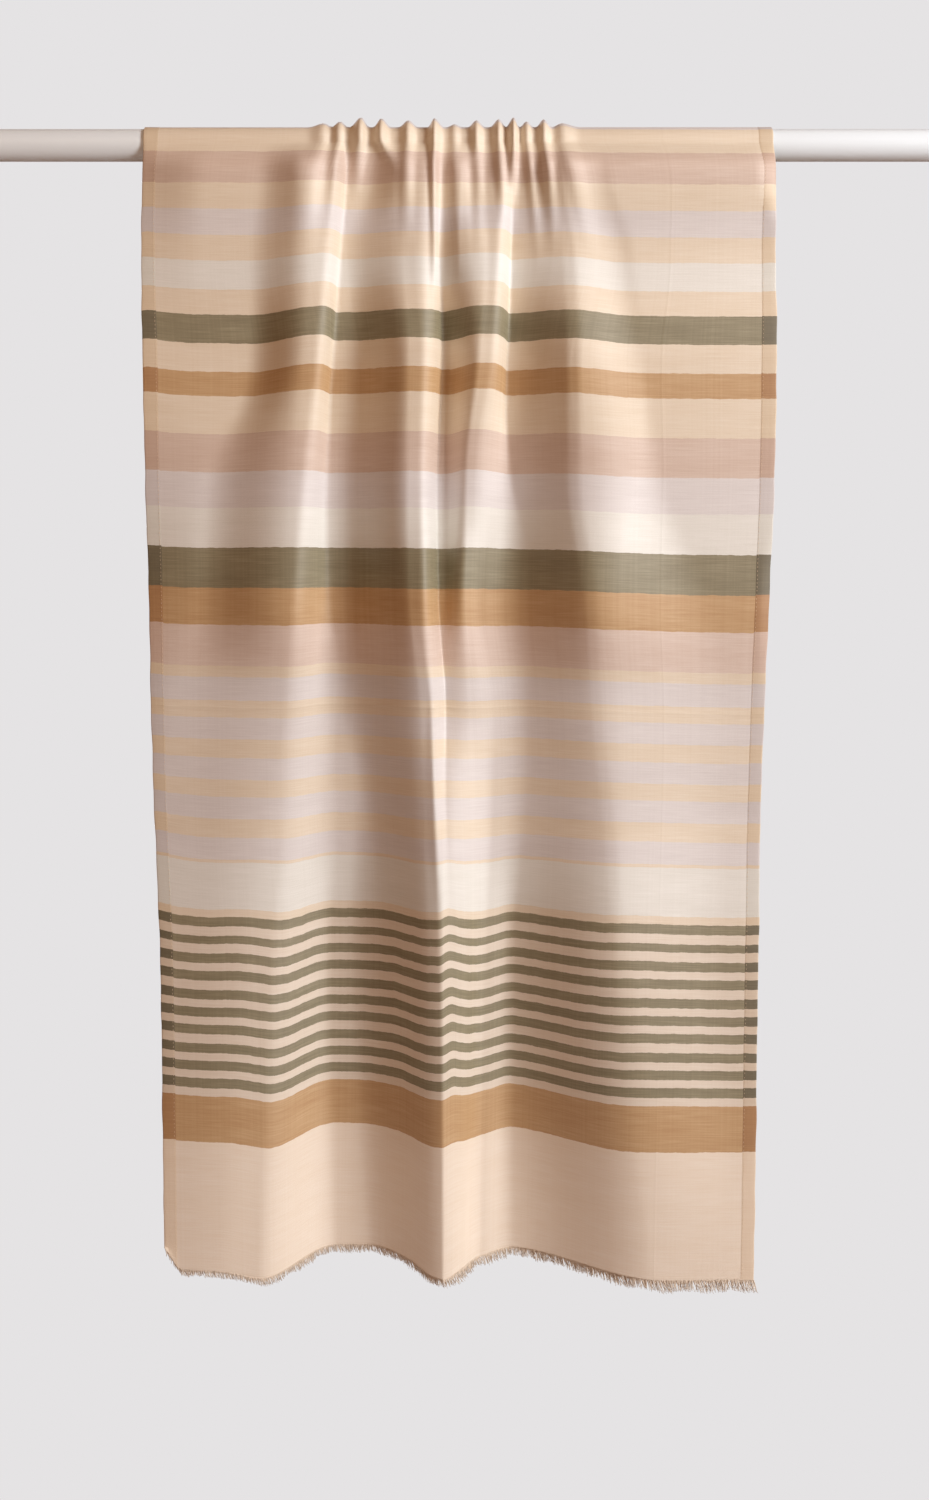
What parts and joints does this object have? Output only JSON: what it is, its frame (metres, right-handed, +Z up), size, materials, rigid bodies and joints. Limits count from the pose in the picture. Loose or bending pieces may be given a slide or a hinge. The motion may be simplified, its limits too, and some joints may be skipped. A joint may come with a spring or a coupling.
{
  "type": "stole on a hanging rod",
  "caption": "Woven stole with cross stripes and short fringed ends, draped over a round rod and gathered at its middle, the front hanging longer than the back.",
  "frame": {"origin": "on the rod's axis at the rod's middle, where the rod is held", "axes": "+X along the rod towards the viewer's right, +Y away from the viewer, +Z up"},
  "size_m": [1, 0.1304, 1.1501],
  "materials": {
    "rod": "satin white paint",
    "cloth": "fine silky weave with cross stripes in peach, mauve, lilac, ivory, sage and caramel",
    "hem": "turned side hem, doubled cloth with a line of stitches",
    "fringe": "cut ends of the warp threads"
  },
  "bodies": {
    "root": {"rod": "rod", "front_fall": "cloth", "crown": "cloth", "back_fall": "cloth", "front_fall_hem_left": "hem", "front_fall_hem_right": "hem", "crown_hem_left": "hem", "crown_hem_right": "hem", "back_fall_hem_left": "hem", "back_fall_hem_right": "hem", "front_fringe": "fringe", "back_fringe": "fringe"}
  },
  "joints": []
}
